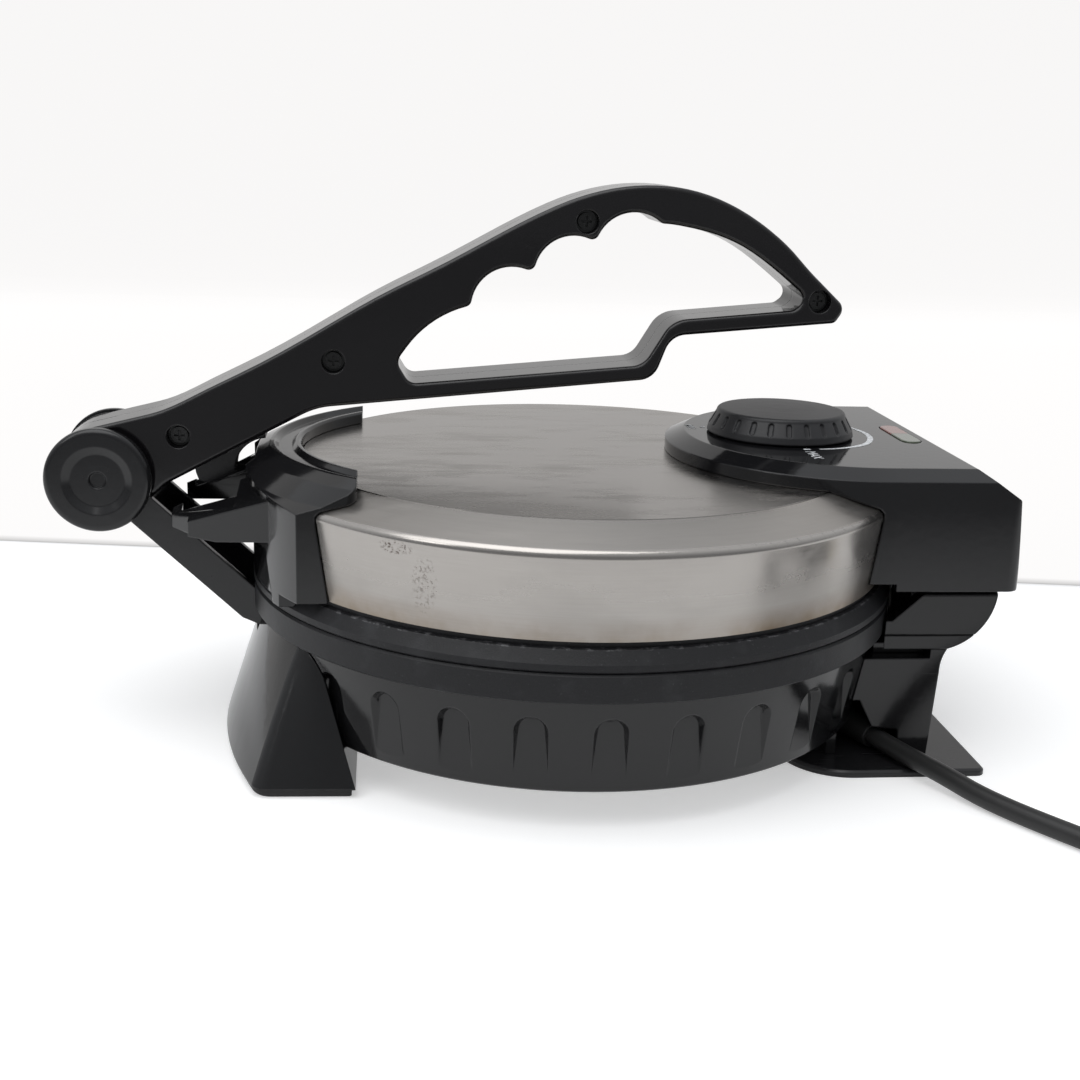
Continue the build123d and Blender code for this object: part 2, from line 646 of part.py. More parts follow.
with BuildPart() as lid_screws:
    for x, y in housing_screws_at:
        spot = Plane((plate_x + x, y, joint_z + lid_top_z - sheet - 0.4))
        with BuildSketch(spot):
            Circle(3.2)
        extrude(amount=-1.8)
        with BuildSketch(spot):
            Circle(1.5)
        extrude(amount=4.2)
    for spot in yoke_screw_planes:
        with BuildSketch(spot):
            Circle(3.2)
        extrude(amount=2.8)
        with BuildSketch(spot):
            Circle(1.5)
        extrude(amount=9)
keep(lid_screws, "lid_screws")

# ------------------------------------------------------------------------ knob
knob_low_z = 59.8
knob_top_z = 70.8
knob_flutes = 24
knob_at = Plane((plate_x + knob_x, 0, joint_z))
knob_side = Plane(knob_at.origin, x_dir=(1, 0, 0), z_dir=(0, -1, 0))
knob_axis = Axis(knob_at.origin, (0, 0, 1))
grip_lean = math.atan(3.2 / (knob_top_z - knob_low_z - 5.4))
grip_face = Plane((plate_x + knob_x + 28.9, 0, joint_z + 65.6), x_dir=(0, 1, 0),
                  z_dir=(math.cos(grip_lean), 0, math.sin(grip_lean)))
with BuildPart() as grip_pocket:
    with BuildSketch(grip_face.offset(1.2)):
        SlotOverall(7.2, 3.6, rotation=90)
    extrude(amount=-2, taper=25)
with BuildPart() as control_knob:
    # turned profile: domed top, rounded edge, sloping grip, plain band, hub inside
    with BuildSketch(knob_side):
        with BuildLine():
            crown = Polyline((25.6, 70), (15, knob_top_z - 0.25), (5, knob_top_z), (0, knob_top_z))
            Polyline(crown @ 1, (0, 66.8), (3, 66.8), (3, knob_low_z + 0.4), (5.5, knob_low_z + 0.4),
                     (5.5, 66), (25, 66), (25, knob_low_z), (30.6, knob_low_z),
                     (31, knob_low_z + 0.4), (30.5, knob_low_z + 3), (27.3, knob_top_z - 2.4))
            ThreePointArc((27.3, knob_top_z - 2.4), (26.8, knob_top_z - 1.3), crown @ 0)
        make_face()
    revolve(axis=knob_axis)
    for i in range(knob_flutes):
        add(grip_pocket.part.rotate(knob_axis, (i + 0.5) * 360 / knob_flutes), mode=Mode.SUBTRACT)
keep(control_knob, "control_knob")

with BuildPart() as knob_spindle:
    with BuildSketch(centre.offset(41)):
        with Locations((knob_x, 0)):
            Circle(3)
    extrude(amount=knob_low_z + 7 - 41)
keep(knob_spindle, "knob_spindle")

# ------------------------------------------------------------------------- arm
arm_dir = (0.729, 0, -0.684)
pivot = (plate_x + pivot_x, 0, joint_z + pivot_z)
arm_side = Plane(pivot, x_dir=arm_dir, z_dir=(0, -1, 0))
arm_eye = (87.8, 4.3)
barrel_r = 20.0             # round ends of arm and lever, about the pivot
pivot_pin_r = 4.0
cheek_in, cheek_out = 17.5, 20.5
with BuildPart() as pivot_arm:
    for sign in (-1, 1):
        with BuildSketch(arm_side.offset(sign * (cheek_in + cheek_out) / 2)):
            Circle(barrel_r)
            Polygon((0, -4.6), (80.3, -4.6), (80.3, 8.4), (0, 8.4), align=None)
            Polygon((76, -4.6), (80.3, -4.6), (arm_eye[0] + 2, arm_eye[1] - 5.6), arm_eye,
                    (arm_eye[0] - 2, arm_eye[1] + 5.6), (80.3, 8.4), align=None)
            with Locations(arm_eye):
                Circle(6)
                Circle(2.55, mode=Mode.SUBTRACT)
            Circle(pivot_pin_r, mode=Mode.SUBTRACT)
        extrude(amount=(cheek_out - cheek_in) / 2, both=True)
    with BuildSketch(arm_side):
        Polygon((23, -4.6), (80.3, -4.6), (80.3, -1.6), (23, -1.6), align=None)
    extrude(amount=cheek_in + 0.1, both=True)
keep(pivot_arm, "pivot_arm")

for name, sign in (("pivot_cap_near", 1), ("pivot_cap_far", -1)):
    with BuildPart() as cap:
        # turned profile: rounded edge, dished face, hole in the middle
        with BuildSketch(Plane(pivot, x_dir=(1, 0, 0), z_dir=(0, 0, 1))):
            with BuildLine():
                cap_edge = ThreePointArc((21, -cheek_out - 2.2), (20.3, -cheek_out - 3.6),
                                         (18.6, -cheek_out - 4.2))
                Polyline(cap_edge @ 1, (13.8, -cheek_out - 4.2), (10.7, -cheek_out - 2.6),
                         (3.6, -cheek_out - 2.6), (3.2, -cheek_out - 2.2), (3.2, -cheek_out - 1.2),
                         (0, -cheek_out - 1.2), (0, -cheek_out), (21, -cheek_out), cap_edge @ 0)
            make_face()
        revolve(axis=Axis(pivot, (0, 1, 0)))
    if sign < 0:
        cap.part = mirror(cap.part, about=Plane.XZ)
    keep(cap, name)

with BuildPart() as lever_pivot_pin:
    with BuildSketch(arm_side):
        Circle(pivot_pin_r)
    extrude(amount=cheek_out, both=True)
keep(lever_pivot_pin, "lever_pivot_pin")

# ----------------------------------------------------------------------- lever
with BuildPart() as press_claw:
    with BuildSketch(side):
        with BuildLine():
            mouth = ThreePointArc((-141.5, 42), (-138.6, 51.3), (-129, 56.3))
            claw_nose = ThreePointArc((-156.3, 38.3), (-152, 37.2), (-147.7, 38.2))
            Polyline(mouth @ 1, (-129, 62), (-150, 60), (-159, 50), (-157.4, 41.3), claw_nose @ 0)
            Line(claw_nose @ 1, mouth @ 0)
        make_face()
    extrude(amount=6, both=True)
keep(press_claw, "press_claw")

lever_screw_spots = [(-162.7, 58.6), (-100.9, 89.7), (-0.3, 147), (96.7, 117.3)]


def touch(point, side_of_barrel):
    """Where the tangent from a point meets the lever's round end, and its direction."""
    run = math.hypot(pivot_x - point[0], pivot_z - point[1])
    heading = math.atan2(pivot_z - point[1], pivot_x - point[0])
    heading += side_of_barrel * math.asin(barrel_r / run)
    reach = math.sqrt(run * run - barrel_r * barrel_r)
    way = (math.cos(heading), math.sin(heading))
    return (point[0] + reach * way[0], point[1] + reach * way[1]), way


back_start = (-174.5, 67.4)
throat = (-168.6, 38.8)
barrel_up, back_way = touch(back_start, -1)
barrel_low, throat_way = touch(throat, 1)
with BuildSketch(side) as lever_outline:
    with BuildLine():
        back = Spline(back_start, (-153.5, 76.6), (-132.9, 87), (-107.6, 101.4), (-82.3, 116.4),
                      (-57.1, 129.4), (-38.3, 139.8), (-19.9, 149.6), (-7.4, 155.2), (5.2, 159.2),
                      (22, 161.7), (43.8, 159.8), (57.1, 155.3), (70.6, 147.9), (84.5, 137),
                      (94.6, 127), tangents=[(-back_way[0], -back_way[1]), (13.4, -12.06)])
        FilletPolyline(back @ 1, (108, 114.94), (104, 108.6), (36, 102.2), (29.5, 84.4),
                       (-108, 70.9), throat, barrel_low, radius=[4.5, 3, 9, 9, 30, 12])
        ThreePointArc(barrel_low, (pivot_x - barrel_r, pivot_z), barrel_up)
        Line(barrel_up, back_start)
    make_face()
with BuildSketch(side) as grip_opening:
    with BuildLine():
        palm = Spline((29.9, 146.9), (38, 146.2), (51.2, 143.4), (64.7, 138), (75.6, 131), (84, 124.6),
                      tangents=[(8, 0.3), (8, -6.4)])
        low_bar = FilletPolyline(palm @ 1, (92, 118.2), (86, 113.45), (36, 108.6), (25, 90.1),
                                 (-70.4, 81.2), (-75.8, 90), (-71.5, 96), radius=[4, 4, 12, 9, 5, 5])
        TangentArc(low_bar @ 1, (-46, 113), tangent=low_bar % 1)
        TangentArc((-46, 113), (-21, 126.2), tangent=(0.05, 1))
        TangentArc((-21, 126.2), (3.5, 138.9), tangent=(0.05, 1))
        TangentArc((3.5, 138.9), (29.9, 146.9), tangent=(0.25, 1))
    make_face()
    ridges = grip_opening.vertices().filter_by(
        lambda v: min(abs(v.X - x) for x in (-46, -21, 3.5, 29.9)) < 0.1)
    fillet(ridges, 3)
with BuildPart() as lever_form:
    with BuildSketch(side):
        add(lever_outline.sketch_local)
        add(grip_opening.sketch_local, mode=Mode.SUBTRACT)
    extrude(amount=lever_half, both=True)
    fillet(lever_form.faces().filter_by(Axis.Y).edges(), 1.7)
    with BuildSketch(side):
        with Locations((pivot_x, pivot_z)):
            Circle(7)
    extrude(amount=lever_half + 1, both=True, mode=Mode.SUBTRACT)
    # moulded hollow, with a boss at each screw and round the pivot
    with BuildPart(mode=Mode.PRIVATE) as lever_hollow:
        inside = offset(lever_outline.sketch_local, amount=-3, mode=Mode.PRIVATE).faces()[0].outer_wire()
        round_grip = offset(grip_opening.sketch_local, amount=3, mode=Mode.PRIVATE).faces()[0].outer_wire()
        with BuildSketch(side):
            Polygon(*[tuple(inside @ (i / 70))[:2] for i in range(70)], align=None)
            Polygon(*[tuple(round_grip @ (i / 50))[:2] for i in range(50)], align=None,
                    mode=Mode.SUBTRACT)
            with Locations(*lever_screw_spots):
                Circle(6.5, mode=Mode.SUBTRACT)
            with Locations((pivot_x, pivot_z)):
                Circle(10, mode=Mode.SUBTRACT)
            # block that holds the claw, with the first screw's boss
            Polygon((-170, 20), (-172, 62), (-152, 70), (-120, 80), (-120, 50), (-136, 36), (-142, 20),
                    align=None, mode=Mode.SUBTRACT)
        extrude(amount=lever_half - 3, both=True)
    for room in lever_hollow.solids().filter_by(lambda r: r.volume > 3000):
        add(room, mode=Mode.SUBTRACT)
    add(press_claw.part, mode=Mode.SUBTRACT)

for name, sign in (("lever_shell_near", 1), ("lever_shell_far", -1)):
    with BuildPart() as shell:
        add(lever_form.part)
        with BuildSketch(side):
            Rectangle(800, 800)
        extrude(amount=-sign * 40, mode=Mode.SUBTRACT)
        if sign == 1:
            with BuildSketch(facing_side(-lever_half)):
                with Locations(*lever_screw_spots):
                    Circle(4.7)
            extrude(amount=-6, mode=Mode.SUBTRACT)
        with BuildSketch(facing_side(0)):
            with Locations(*lever_screw_spots):
                Circle(1.55)
        extrude(amount=sign * (20 if sign == 1 else 10), mode=Mode.SUBTRACT)
    keep(shell, name)

with BuildPart() as lever_screws:
    for x, z in lever_screw_spots:
        with BuildSketch(facing_side(-lever_half + 6)):
            with Locations((x, z)):
                Circle(3.4)
        extrude(amount=2)
        with BuildSketch(facing_side(-lever_half + 6)):
            with Locations((x, z)):
                Circle(1.5)
        extrude(amount=-20)
        with BuildSketch(facing_side(-lever_half + 4)):
            with Locations((x, z)):
                Rectangle(4.2, 0.9)
                Rectangle(0.9, 4.2)
        extrude(amount=-1, mode=Mode.SUBTRACT)
keep(lever_screws, "lever_screws")

with BuildPart() as lever_bush:
    with BuildSketch(arm_side):
        Circle(7)
        Circle(pivot_pin_r + 0.05, mode=Mode.SUBTRACT)
    extrude(amount=lever_half + 0.2, both=True)
keep(lever_bush, "lever_bush")

# ------------------------------------------------------------------------ cord
cord_r = 4.0
relief_start = Vector(plate_x + 112.5, -41, joint_z - 54)
relief_end = Vector(plate_x + 121, -59, joint_z - 56)
with BuildPart() as cord_strain_relief:
    relief_way = (relief_end - relief_start).normalized()
    with BuildSketch(Plane(relief_start, z_dir=relief_way)):
        Circle(6.2)
    with BuildSketch(Plane(relief_end, z_dir=relief_way)):
        Circle(5.2)
    loft()
    with BuildSketch(Plane(relief_start - relief_way * 2, z_dir=relief_way)):
        Circle(cord_r)
    extrude(amount=40, mode=Mode.SUBTRACT)
keep(cord_strain_relief, "cord_strain_relief")

route = [
    tuple(relief_end - relief_way * 8),
    tuple(relief_end + relief_way * 14),
    (plate_x + 138, -91, joint_z - 58.3),
    (plate_x + 149.5, -112, joint_z - 61),
    (plate_x + 172.4, -145.2, joint_z - 61),
    (plate_x + 197.2, -176.1, joint_z - 61),
]
lengths = [math.dist(a, b) for a, b in zip(route, route[1:])]
radii = []
for a, b, c, before, after in zip(route, route[1:], route[2:], lengths, lengths[1:]):
    first = (Vector(b) - Vector(a)).normalized()
    second = (Vector(c) - Vector(b)).normalized()
    turn = math.acos(min(1, first.dot(second)))
    radii.append(0.45 * min(before, after) / math.tan(turn / 2))
print("cord runs", [round(v) for v in lengths], "radii", [round(r) for r in radii])
with BuildPart() as cord:
    with BuildLine():
        cord_path = FilletPolyline(*route, radius=radii)
    with BuildSketch(Plane(route[0], z_dir=cord_path % 0)):
        Circle(cord_r)
    sweep()
print("cord volume", cord.part.volume, "section x length", math.pi * cord_r ** 2 * cord_path.length)
keep(cord, "cord")

coil_at = (plate_x + 252, -158)
coil_in, coil_out, coil_high = 36.0, 52.0, 14.9
with BuildPart() as cord_coil:
    with BuildSketch(Plane((*coil_at, 0), x_dir=(1, 0, 0), z_dir=(0, -1, 0))):
        with Locations(((coil_in + coil_out) / 2, coil_high / 2)):
            RectangleRounded(coil_out - coil_in, coil_high, 3.9)
    revolve(axis=Axis((*coil_at, 0), (0, 0, 1)))
keep(cord_coil, "cord_coil")

plug_turn = math.radians(80)
plug_way = Vector(math.cos(plug_turn), math.sin(plug_turn), 0)
coil_mid = (coil_in + coil_out) / 2
coil_leave = Vector(coil_at[0] + coil_mid * math.sin(plug_turn),
                    coil_at[1] - coil_mid * math.cos(plug_turn), 9)
plug_width, plug_high = 24.0, 18.0
with BuildPart() as plug:
    with BuildSketch(Plane(coil_leave + plug_way * 52, x_dir=(0, 0, 1), z_dir=plug_way)):
        RectangleRounded(plug_high, plug_width, 5)
    extrude(amount=30)
    chamfer(plug.edges().filter_by(GeomType.LINE, reverse=True), 1.2)
    with BuildSketch(Plane(coil_leave + plug_way * 40, x_dir=(0, 0, 1), z_dir=plug_way)):
        Circle(5.2)
    with BuildSketch(Plane(coil_leave + plug_way * 53.5, x_dir=(0, 0, 1), z_dir=plug_way)):
        Circle(7)
    loft()
keep(plug, "plug")

with BuildPart() as plug_blades:
    with BuildSketch(Plane(coil_leave + plug_way * 82, x_dir=(0, 0, 1), z_dir=plug_way)):
        with Locations((0, -6.35), (0, 6.35)):
            Rectangle(6.35, 1.5)
    extrude(amount=16)
keep(plug_blades, "plug_blades")
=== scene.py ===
import math
import bpy
import numpy as np
from mathutils import Matrix, Vector


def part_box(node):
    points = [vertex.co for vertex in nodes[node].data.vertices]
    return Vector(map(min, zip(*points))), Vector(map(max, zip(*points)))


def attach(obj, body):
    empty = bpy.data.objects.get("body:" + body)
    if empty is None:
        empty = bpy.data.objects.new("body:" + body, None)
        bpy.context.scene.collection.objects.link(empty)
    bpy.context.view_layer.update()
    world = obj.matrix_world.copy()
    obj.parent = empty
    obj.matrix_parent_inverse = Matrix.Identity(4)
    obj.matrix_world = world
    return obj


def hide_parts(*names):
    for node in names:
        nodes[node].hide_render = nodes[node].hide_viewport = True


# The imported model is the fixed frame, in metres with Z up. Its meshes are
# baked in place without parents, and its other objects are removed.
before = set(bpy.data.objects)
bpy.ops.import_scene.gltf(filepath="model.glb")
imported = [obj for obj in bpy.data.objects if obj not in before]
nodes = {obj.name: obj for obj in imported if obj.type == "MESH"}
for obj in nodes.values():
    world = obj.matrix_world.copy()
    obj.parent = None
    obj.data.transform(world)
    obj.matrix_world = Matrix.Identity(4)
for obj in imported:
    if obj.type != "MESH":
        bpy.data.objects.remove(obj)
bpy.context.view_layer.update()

# ------------------------------------------------- base shell, foot and leg
# Mouldings in glossy black plastic: a round skirt with arched flutes, a
# splayed front foot, a rear leg and the bracket of the lid's hinge. They have
# the fine orange peel of a polished mould, and hair scratches from use.


class Wire:
    """One output socket of a node; arithmetic on it adds Math nodes."""

    def __init__(self, tree, socket):
        self.tree = tree
        self.socket = socket

    def maths(self, operation, *others):
        """One Math node on this wire and then the others."""
        return self.tree.maths(operation, self, *others)

    def __add__(self, other):
        return self.maths("ADD", other)

    def __sub__(self, other):
        return self.maths("SUBTRACT", other)

    def __mul__(self, other):
        return self.maths("MULTIPLY", other)

    def __truediv__(self, other):
        return self.maths("DIVIDE", other)

    def __pow__(self, other):
        return self.maths("POWER", other)

    def __rsub__(self, other):
        return self.tree.maths("SUBTRACT", other, self)

    def __rtruediv__(self, other):
        return self.tree.maths("DIVIDE", other, self)

    __radd__ = __add__
    __rmul__ = __mul__


class Tree:
    """The nodes of a material or of the world, wired by expressions."""

    def __init__(self, owner):
        self.nodes = owner.node_tree.nodes
        self.links = owner.node_tree.links

    def feed(self, socket, value):
        """Links a wire to the socket; anything else becomes the socket's constant."""
        if isinstance(value, Wire):
            self.links.new(value.socket, socket)
        else:
            socket.default_value = value

    def node(self, kind, settings=None, values=None, output=0):
        """Adds a node: its settings first, then the values or wires of its sockets."""
        made = self.nodes.new(kind)
        for name, value in (settings or {}).items():
            setattr(made, name, value)
        for key, value in (values or {}).items():
            self.feed(made.inputs[key], value)
        return Wire(self, made.outputs[output])

    def maths(self, operation, *values):
        """One Math node on the values, in their order."""
        return self.node("ShaderNodeMath", {"operation": operation}, dict(enumerate(values)))

    def ramp(self, wire, low, high, low_value=0.0, high_value=1.0):
        """A straight line from low_value at low to high_value at high, level beyond both."""
        return self.node("ShaderNodeMapRange", {}, {"Value": wire, "From Min": low,
                                                    "From Max": high, "To Min": low_value,
                                                    "To Max": high_value})

    def axis(self, letter, coordinates="Object"):
        """The X, Y or Z of the point that is being shaded."""
        where = self.node("ShaderNodeTexCoord", output=coordinates)
        return self.node("ShaderNodeSeparateXYZ", {}, {0: where}, output=letter)


class Surface(Tree):
    """A material with one Principled shader."""

    def __init__(self, name, **constants):
        self.material = bpy.data.materials.new(name)
        self.material.use_nodes = True
        super().__init__(self.material)
        self.shader = self.nodes["Principled BSDF"]
        self.set(**constants)

    def set(self, **values):
        """Gives shader sockets a constant or a wire; Base_Color is the socket Base Color."""
        for name, value in values.items():
            self.feed(self.shader.inputs[name.replace("_", " ")], value)
        return self

    def noise(self, size, detail=2.0, roughness=0.5, stretch=(1, 1, 1), turn=(0, 0, 0)):
        """Noise whose blotches are size metres across, divided by stretch along X, Y and Z;
        the scaled coordinates are then turned, which picks another part of the pattern."""
        where = self.node("ShaderNodeTexCoord", output="Object")
        placed = self.node("ShaderNodeMapping", {}, {"Vector": where, "Rotation": turn,
                                                     "Scale": tuple(s / size for s in stretch)})
        return self.node("ShaderNodeTexNoise", {}, {"Vector": placed, "Scale": 1.0,
                                                    "Detail": detail, "Roughness": roughness})

    def mix(self, mask, first, second):
        """Goes from first to second, two colours or two vectors, as the mask goes from 0 to 1."""
        return self.node("ShaderNodeMix", {"data_type": "RGBA"}, {0: mask, 6: first, 7: second},
                         output=2)

    def bump(self, height, strength, distance, normal=None):
        """Gives the shader a Bump node of this height, laid over a normal if one is given."""
        over = {"Normal": normal} if normal else {}
        return self.set(Normal=self.node("ShaderNodeBump", {}, {
            "Height": height, "Strength": strength, "Distance": distance, **over}))


def moulded_black(name, shade, gloss, peel=0.05):
    """Black moulding: shade, half as light again where it is cloudy or dusty; roughness gloss,
    a little more in clouds and scratches; orange peel of strength peel, over soft edges."""
    surface = Surface(name, IOR=1.45)
    cloud = surface.noise(0.03, 3)
    scratch = surface.noise(0.0012, 2, 0.6, stretch=(0.05, 1, 1), turn=(0.3, 0.2, 0.6))
    marks = surface.ramp(scratch, 0.66, 0.74)
    dust = surface.ramp(surface.noise(0.0009, 1), 0.7, 0.8)
    paler = tuple(c * 1.5 + 0.002 for c in shade)
    surface.set(Base_Color=surface.mix(cloud * 0.6 + dust * 0.4, (*shade, 1), (*paler, 1)),
                Roughness=gloss + cloud * 0.06 + marks * 0.08)
    soft_edge = surface.node("ShaderNodeBevel", {"samples": 6}, {"Radius": 0.0009})
    return surface.bump(surface.noise(0.004, 1), peel, 0.0004, soft_edge)


def dress(surface, *names):
    """Gives CAD nodes one material."""
    for name in names:
        mesh = nodes[name].data
        mesh.materials.clear()
        mesh.materials.append(surface.material)


shell_black = moulded_black("shell_black", (0.006, 0.006, 0.0065), gloss=0.09)
dress(shell_black, "base_shell", "front_foot", "rear_leg", "hinge_bracket", "bracket_seat")

# ------------------------------------------------------------------ feet
# Soft pads close the front foot from below, and a flat moulded plate lies
# under the rear leg. The pads are matt rubber; the plate is dulled plastic.
pad_rubber = moulded_black("pad_rubber", (0.018, 0.018, 0.018), gloss=0.6, peel=0.2)
dress(pad_rubber, "front_foot_pads")
foot_plate_black = moulded_black("foot_plate_black", (0.012, 0.012, 0.013), gloss=0.22)
dress(foot_plate_black, "rear_foot_plate")

# ------------------------------------------------------------- heating plates
# Two cast aluminium plates with a dark non-stick coating, matt, finely grained
# and flecked. Just under the edge of the lid, a paler broken line is painted
# along their top edge. It is partly chips in the coating and partly a painted edge highlight.
plate_coating = Surface("plate_coating", Specular_IOR_Level=0.28)
grain = plate_coating.noise(0.0007, 2)
worn = plate_coating.ramp(plate_coating.noise(0.012, 4), 0.55, 0.75)
fleck = plate_coating.ramp(plate_coating.noise(0.0011, 2), 0.66, 0.76)
coated = plate_coating.mix(worn * 0.4 + grain * 0.2 + fleck * 0.6,
                           (0.009, 0.009, 0.0102, 1), (0.034, 0.035, 0.038, 1))
brim_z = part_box("lid_cover")[0][2] - 0.0026
off_brim = (plate_coating.axis("Z") - brim_z).maths("ABSOLUTE")
line_breakup = plate_coating.ramp(plate_coating.noise(0.003, 4, 0.7), 0.5, 0.66)
# Painted edge highlight, partly chipped coating: a thin paler line at the plates' top edge.
edge_highlight_and_chips = plate_coating.ramp(off_brim, 0.0004, 0.0001) * line_breakup
plate_coating.set(Base_Color=plate_coating.mix(edge_highlight_and_chips, coated, (0.11, 0.11, 0.115, 1)),
                  Roughness=0.4 + grain * 0.16)
plate_coating.bump(grain, 0.25, 0.0003)
dress(plate_coating, "lower_heating_plate", "upper_heating_plate")

# ------------------------------------------------------------ plain steel
# Pins, the hinge plate, reflectors and the bottom cover are bare or plated
# steel with fine rolling lines. The tubular heaters are browned by heat.
plain_steel = Surface("plain_steel", Metallic=1.0)
lines = plain_steel.noise(0.0006, 2, 0.6, stretch=(0.04, 1, 1))
plain_steel.set(Base_Color=plain_steel.mix(lines, (0.42, 0.42, 0.42, 1), (0.6, 0.6, 0.6, 1)),
                Roughness=0.28 + lines * 0.16)
plain_steel.bump(lines, 0.1, 0.0002)
dress(plain_steel, "lid_hinge_pin", "arm_hinge_pin", "lever_pivot_pin", "hinge_plate",
      "knob_spindle", "lower_heat_reflector", "upper_heat_reflector", "bottom_cover")

heater_tube = Surface("heater_tube", Metallic=1.0)
heat = heater_tube.noise(0.006, 3)
heater_tube.set(Base_Color=heater_tube.mix(heat, (0.2, 0.18, 0.16, 1), (0.34, 0.3, 0.27, 1)),
                Roughness=0.4 + heat * 0.2)
dress(heater_tube, "lower_heating_element", "upper_heating_element")

# ---------------------------------------------------------------- screws
# Blackened self-tapping screws with a cross slot, sunk in the mouldings of
# the base, the lid and the lever. Their heads are rubbed to bare specks.
screw_black = Surface("screw_black", Metallic=0.6)
speck = screw_black.noise(0.0008, 2)
screw_black.set(Base_Color=screw_black.mix(speck, (0.012, 0.012, 0.012, 1), (0.05, 0.05, 0.05, 1)),
                Roughness=0.3 + speck * 0.2)
dress(screw_black, "base_screws", "lid_screws", "lever_screws")

# ------------------------------------------------------- inner mouldings
# Terminal block, thermostat body, indicator lamps and the lever's bush, in
# pale heat resisting plastic.
inner_pale = Surface("inner_pale", Specular_IOR_Level=0.4)
chalk = inner_pale.noise(0.004, 3)
inner_pale.set(Base_Color=inner_pale.mix(chalk, (0.5, 0.48, 0.42, 1), (0.62, 0.6, 0.54, 1)),
               Roughness=0.5 + chalk * 0.1)
dress(inner_pale, "terminal_block", "thermostat", "indicator_lamps", "lever_bush")

# ------------------------------------------------------------- lid cover
# Spun stainless sheet: a flat top, a slope, a roll and a wall. It is brushed,
# straight on the top and round on the wall, and clouded by wiping. The wall's
# foot is tinted by heat, and burnt crumbs of dough stick to its front.
stainless = Surface("stainless", Metallic=1.0)
lid_low, lid_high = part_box("lid_cover")
lid_x, lid_y = (lid_low[0] + lid_high[0]) / 2, (lid_low[1] + lid_high[1]) / 2
lid_r = lid_high[0] - lid_x
height = stainless.axis("Z")
across = stainless.axis("X") - lid_x
along = stainless.axis("Y") - lid_y
radius = (across ** 2.0 + along ** 2.0) ** 0.5
on_top = stainless.ramp(height, lid_high[2] - 0.0008, lid_high[2] - 0.0002)
on_rim = stainless.ramp(radius, lid_r - 0.0024, lid_r - 0.0008)
brush_top = stainless.noise(0.0005, 2, 0.6, stretch=(0.02, 1, 1), turn=(0, 0, 0.1))
brush_wall = stainless.noise(0.0005, 2, 0.6, stretch=(0.02, 0.02, 1))
brush = brush_top * on_top + brush_wall * (1 - on_top)
wiped = stainless.noise(0.035, 4, 0.6, stretch=(0.6, 1.4, 1), turn=(0, 0, 0.5))
streaks = stainless.noise(0.018, 5, 0.65, stretch=(0.35, 1.3, 1), turn=(0, 0, 0.9))
smear = stainless.ramp(streaks, 0.48, 0.66)
clean = stainless.mix(wiped * 0.55 + brush * 0.45,
                      (0.325, 0.306, 0.287, 1), (0.43, 0.41, 0.388, 1))
heat_band = stainless.ramp(height, lid_low[2] + 0.0095, lid_low[2] + 0.0005)
scorch = heat_band * stainless.ramp(stainless.noise(0.03, 4, 0.6), 0.35, 0.7, 0.25, 0.9)
heated = stainless.mix(scorch, clean, (0.2, 0.15, 0.1, 1))
crumbs = stainless.ramp(stainless.noise(0.0013, 4, 0.75), 0.53, 0.6)


def patch(x, z, wide, tall):
    """Mask of a soft oval on the near wall, at height z and x across from the lid's axis. It is
    full where (dx / wide)^2 + (dz / tall)^2 is under 0.35, and fades to nothing at 1."""
    dx = (across - x) / wide
    dz = (height - z) / tall
    return stainless.ramp(dx ** 2.0 + dz ** 2.0, 1.0, 0.35) * stainless.ramp(along, 0.0, -0.01)


soiled = crumbs * (patch(-0.0765, 0.104, 0.0062, 0.0028) * 0.9
                   + patch(-0.0665, 0.0915, 0.0048, 0.012) * 0.38)
dull = 0.15 + wiped * 0.1 + smear * 0.1 + brush * 0.06 + (1 - on_top) * 0.08
stainless.set(Base_Color=stainless.mix(soiled, heated, (0.07, 0.045, 0.03, 1)),
              Metallic=1.0 - soiled,
              Roughness=dull * (1 - on_rim * 0.35) + soiled * 0.3)

# The outer face shades as one smooth turning. Its normal leans up from level
# by the angle round the roll's centre, held between the wall's and the
# slope's. The flat top and the inside keep the normals of their own faces.
roll_r, roll_z = 0.13123, 0.10653          # the roll's centre
roll_inside = 0.0028                       # the roll's outer face lies further from it
roll_from_r, roll_from_z = 0.1308, 0.1045  # the roll lies beyond both
wall_lean, slope_lean = -0.115, 1.246      # radians above level
wall_at_0, wall_flare = 0.12167, 0.11551   # mid-sheet radius at height 0, and its gain
slope_at_0, slope_fall = 0.15367, 0.33714  # mid-sheet height at the axis, and its loss
top_r = 0.1151                             # the flat top ends here
past_roll = (height - roll_z).maths("ARCTAN2", radius - roll_r)
lean = stainless.ramp(past_roll, wall_lean, slope_lean, wall_lean, slope_lean)
level = lean.maths("COSINE") / radius
leaning = stainless.node("ShaderNodeCombineXYZ", {}, {0: across * level, 1: along * level,
                                                      2: lean.maths("SINE")})
leaning = stainless.node("ShaderNodeVectorTransform",
                         {"vector_type": "NORMAL", "convert_from": "OBJECT",
                          "convert_to": "WORLD"}, {0: leaning})
own_normal = stainless.node("ShaderNodeNewGeometry", output="Normal")
on_wall = (radius - height * wall_flare).maths("GREATER_THAN", wall_at_0)
on_slope = (height + radius * slope_fall).maths("GREATER_THAN", slope_at_0)
off_roll = (height - roll_z) ** 2.0 + (radius - roll_r) ** 2.0
on_roll = (off_roll.maths("GREATER_THAN", roll_inside ** 2)
           * radius.maths("GREATER_THAN", roll_from_r) * height.maths("GREATER_THAN", roll_from_z))
outside = ((on_wall + on_slope + on_roll).maths("MINIMUM", 1.0)
           * radius.maths("GREATER_THAN", top_r))
stainless.bump(brush * on_top, 0.025, 0.0002, stainless.mix(outside, own_normal, leaning))
dress(stainless, "lid_cover")

